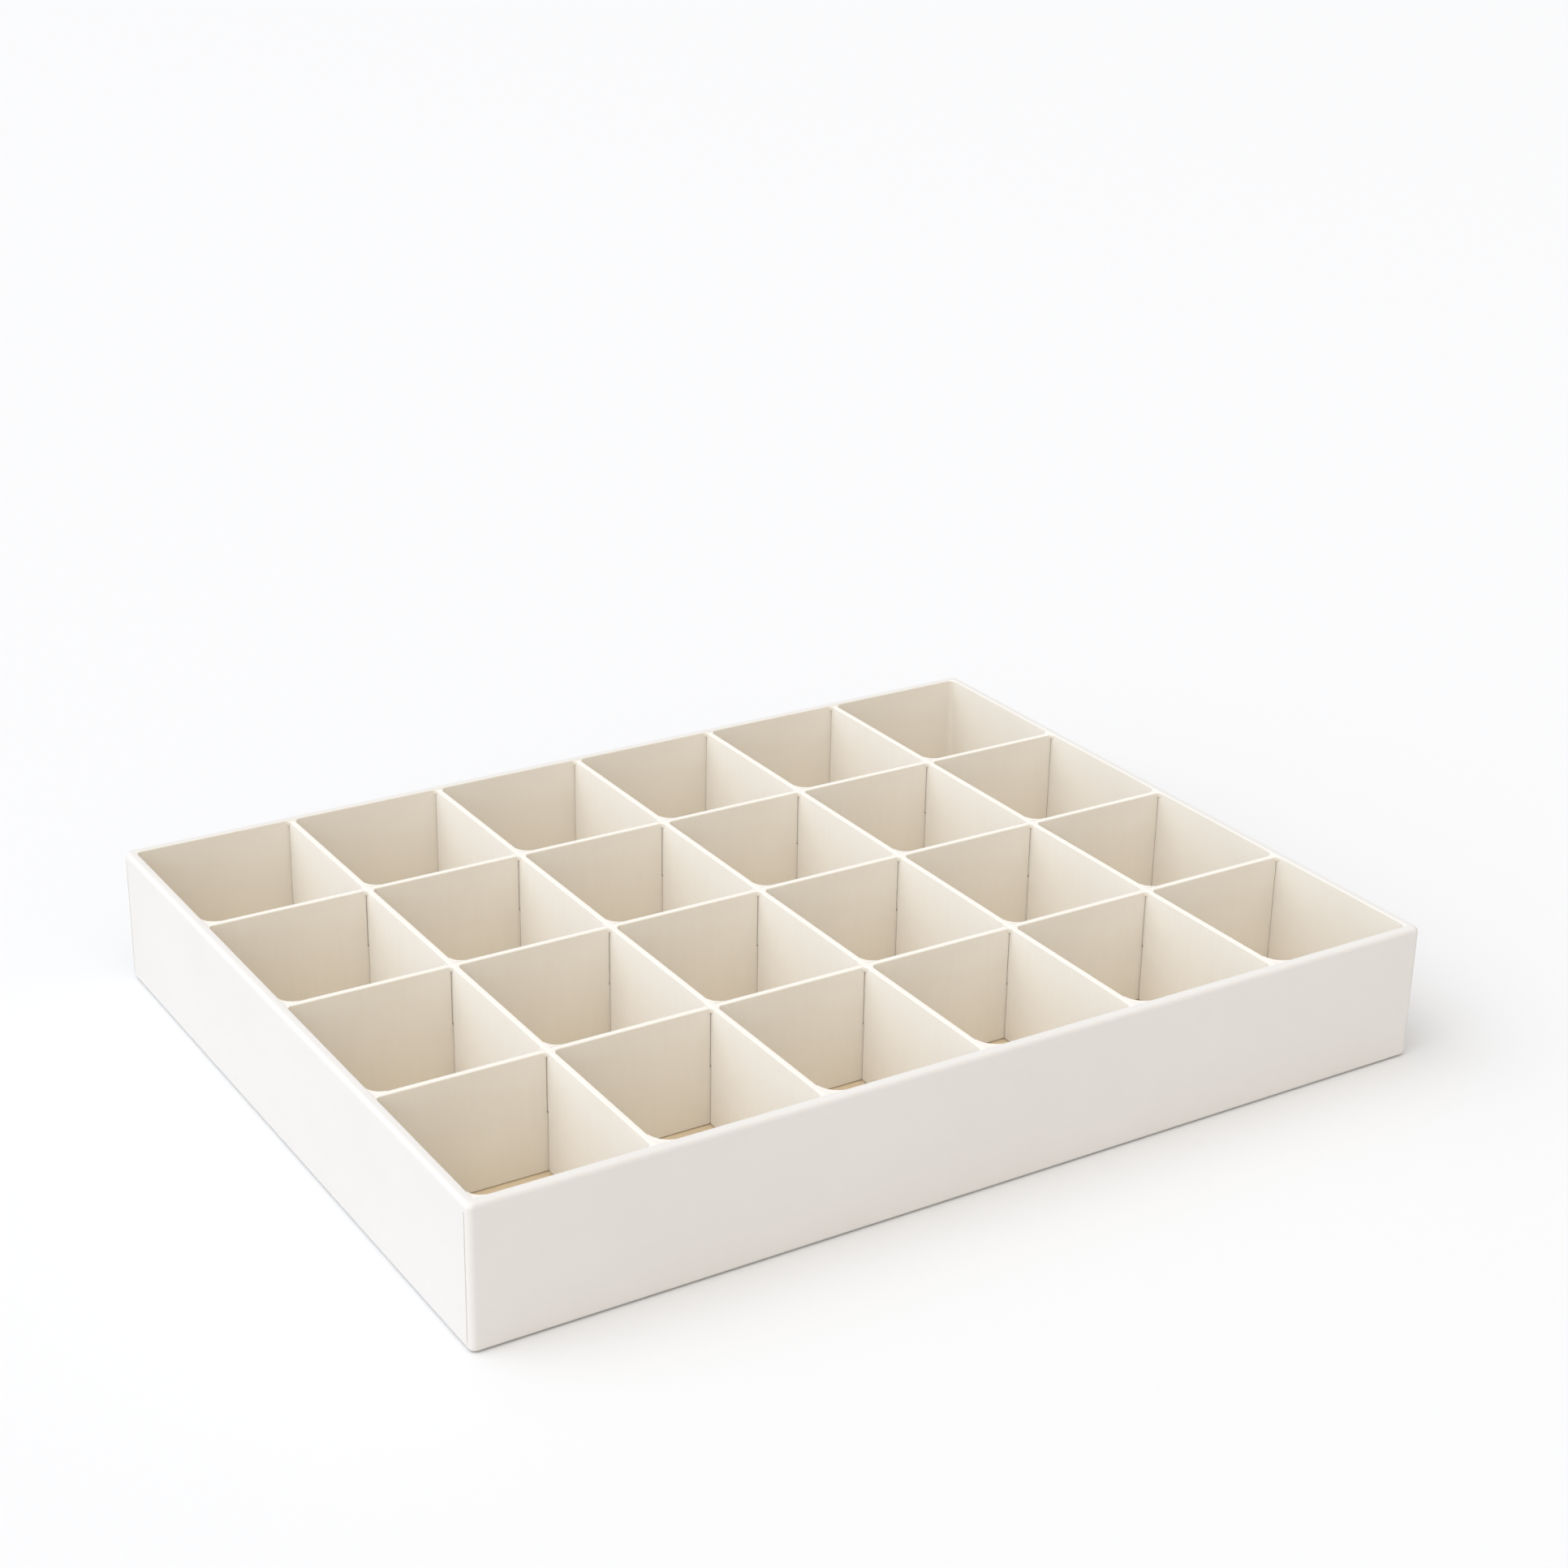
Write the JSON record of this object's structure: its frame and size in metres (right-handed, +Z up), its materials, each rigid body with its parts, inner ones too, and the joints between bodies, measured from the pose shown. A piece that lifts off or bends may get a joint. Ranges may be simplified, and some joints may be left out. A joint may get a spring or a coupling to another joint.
{
  "type": "partitioned storage tray",
  "caption": "Shallow open tray of paper-wrapped rigid board, with a lift-out grid of slotted card dividers that makes open-topped cells for small samples.",
  "frame": {"origin": "centre of the underside of the tray", "axes": "+X along the long side, +Y along the short side from front to back, +Z up out of the open top"},
  "size_m": [0.2056, 0.158, 0.0282],
  "materials": {
    "wrap_paper": "matte",
    "divider_card": "matte",
    "lining_card": "matte",
    "bottom_paper": "matte",
    "greyboard": "matte",
    "stay_tape": "matte"
  },
  "bodies": {
    "tray": {"base_board": "greyboard", "front_wall_board": "greyboard", "back_wall_board": "greyboard", "left_wall_board": "greyboard", "right_wall_board": "greyboard", "corner_stay_front_left": "stay_tape", "corner_stay_front_right": "stay_tape", "corner_stay_back_left": "stay_tape", "corner_stay_back_right": "stay_tape", "outer_wrap": "wrap_paper", "bottom_paper": "bottom_paper", "floor_card": "lining_card"},
    "divider_grid": {"long_divider_1": "divider_card", "long_divider_2": "divider_card", "long_divider_3": "divider_card"},
    "cross_divider_body_1": {"cross_divider_1": "divider_card"},
    "cross_divider_body_2": {"cross_divider_2": "divider_card"},
    "cross_divider_body_3": {"cross_divider_3": "divider_card"},
    "cross_divider_body_4": {"cross_divider_4": "divider_card"},
    "cross_divider_body_5": {"cross_divider_5": "divider_card"}
  },
  "joints": [
    {"name": "grid_lift", "type": "slide", "parent": "tray", "child": "divider_grid", "axis": [0, 0, 1], "range_m": [0, 0.035]},
    {"name": "cross_divider_lift_1", "type": "slide", "parent": "divider_grid", "child": "cross_divider_body_1", "axis": [0, 0, 1], "range_m": [0, 0.03]},
    {"name": "cross_divider_lift_2", "type": "slide", "parent": "divider_grid", "child": "cross_divider_body_2", "axis": [0, 0, 1], "range_m": [0, 0.03]},
    {"name": "cross_divider_lift_3", "type": "slide", "parent": "divider_grid", "child": "cross_divider_body_3", "axis": [0, 0, 1], "range_m": [0, 0.03]},
    {"name": "cross_divider_lift_4", "type": "slide", "parent": "divider_grid", "child": "cross_divider_body_4", "axis": [0, 0, 1], "range_m": [0, 0.03]},
    {"name": "cross_divider_lift_5", "type": "slide", "parent": "divider_grid", "child": "cross_divider_body_5", "axis": [0, 0, 1], "range_m": [0, 0.03]}
  ]
}
